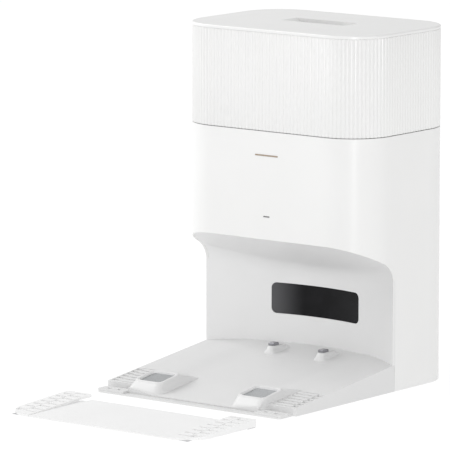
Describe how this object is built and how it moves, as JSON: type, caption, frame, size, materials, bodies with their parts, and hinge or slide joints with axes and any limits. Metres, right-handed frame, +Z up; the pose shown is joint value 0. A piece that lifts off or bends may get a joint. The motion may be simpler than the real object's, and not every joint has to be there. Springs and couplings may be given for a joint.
{
  "type": "robot vacuum dock",
  "caption": "Robot vacuum charging and dust-emptying dock: fluted bag cover over a smooth tower, curved parking bay, sloping base with contacts and vents, and a loose ramp plate.",
  "frame": {"origin": "on the floor, under the middle of the whole dock with its ramp plate in front", "axes": "+Z up, +Y from the ramp plate to the back of the dock, +X to the right seen from the front"},
  "size_m": [0.3, 0.554, 0.457],
  "materials": {
    "shell_white": "semi-gloss moulded ABS",
    "ribbed_white": "semi-gloss moulded ABS with fine vertical flutes",
    "liner_white": "satin moulded ABS",
    "base_white": "satin moulded ABS",
    "ramp_white": "satin moulded ABS",
    "window_black": "polished infrared-pass acrylic",
    "inner_grey": "moulded polypropylene",
    "impeller_grey": "glass-filled nylon",
    "grille_grey": "moulded grille",
    "seal_grey": "soft grey rubber",
    "seal_white": "soft white rubber",
    "contact_chrome": "polished nickel plate",
    "steel": "zinc plated steel",
    "motor_metal": "die-cast",
    "brass": "nickel-plated brass",
    "light_lens": "smoked light pipe",
    "badge_bronze": "satin bronze",
    "board_green": "solder mask",
    "filter_foam": "open-cell foam",
    "bag_fleece": "non-woven fleece",
    "collar_card": "moulded collar",
    "lead_black": "insulated leads"
  },
  "bodies": {
    "dock": {"badge_bar": "badge_bronze", "bag_chamber": "inner_grey", "bag_rails": "inner_grey", "base_bottom": "base_white", "base_ramp": "base_white", "case_screws": "steel", "compartment_deck": "inner_grey", "contact_carrier": "base_white", "contact_pod_left": "base_white", "contact_pod_right": "base_white", "contact_spring_left": "steel", "contact_spring_right": "steel", "cross_duct": "inner_grey", "deck_magnets": "steel", "dock_feet": "seal_grey", "exhaust_filter": "filter_foam", "fan_housing": "inner_grey", "fan_inlet_duct": "inner_grey", "hinge_brackets": "shell_white", "hinge_pins": "steel", "infrared_board": "board_green", "infrared_window": "window_black", "inlet_filter": "filter_foam", "inlet_pins": "brass", "lower_ducts": "inner_grey", "main_board": "board_green", "motor_bearings": "steel", "motor_can": "motor_metal", "motor_mount": "seal_grey", "outer_shell": "shell_white", "port_seal": "seal_grey", "power_board": "board_green", "power_inlet": "inner_grey", "rear_cover": "shell_white", "recess_liner": "liner_white", "riser_duct": "inner_grey", "status_light": "light_lens", "vent_grille_left": "grille_grey", "vent_grille_right": "grille_grey", "vent_housing_left": "base_white", "vent_housing_right": "base_white", "vent_seal_left": "seal_white", "vent_seal_right": "seal_white", "wiring_harness": "lead_black"},
    "cover": {"cover_wall": "ribbed_white", "top_plate": "shell_white", "cover_flange": "inner_grey", "cover_gasket": "seal_grey", "cover_magnets": "steel", "cover_hinges": "shell_white"},
    "ramp_plate": {"ramp_sheet": "ramp_white", "ramp_track_left": "ramp_white", "ramp_track_right": "ramp_white", "ramp_feet": "seal_grey"},
    "contact_left": {"charging_contact_left": "contact_chrome"},
    "contact_right": {"charging_contact_right": "contact_chrome"},
    "fan_rotor": {"impeller": "impeller_grey", "motor_shaft": "steel"},
    "bag": {"dust_bag": "bag_fleece", "bag_collar": "collar_card"}
  },
  "joints": [
    {"name": "cover_hinge", "type": "hinge", "parent": "dock", "child": "cover", "pos_m": [0, 0.2722, 0.32785], "axis": [-1, 0, 0], "range_deg": [0, 75]},
    {"name": "ramp_plate_slide", "type": "slide", "parent": "dock", "child": "ramp_plate", "axis": [0, 1, 0], "range_m": [0, 0.0716]},
    {"name": "contact_press_left", "type": "slide", "parent": "dock", "child": "contact_left", "axis": [0, 0, -1], "range_m": [0, 0.003], "stiffness_N_per_m": 200, "springref_m": -0.003, "deforming": ["contact_spring_left"]},
    {"name": "contact_press_right", "type": "slide", "parent": "dock", "child": "contact_right", "axis": [0, 0, -1], "range_m": [0, 0.003], "stiffness_N_per_m": 200, "springref_m": -0.003, "deforming": ["contact_spring_right"]},
    {"name": "fan_spin", "type": "hinge", "parent": "dock", "child": "fan_rotor", "pos_m": [-0.04, 0.2192, 0.13], "axis": [0, 0, 1], "continuous": true},
    {"name": "bag_lift", "type": "slide", "parent": "dock", "child": "bag", "axis": [0, 0, 1], "range_m": [0, 0.06]}
  ]
}
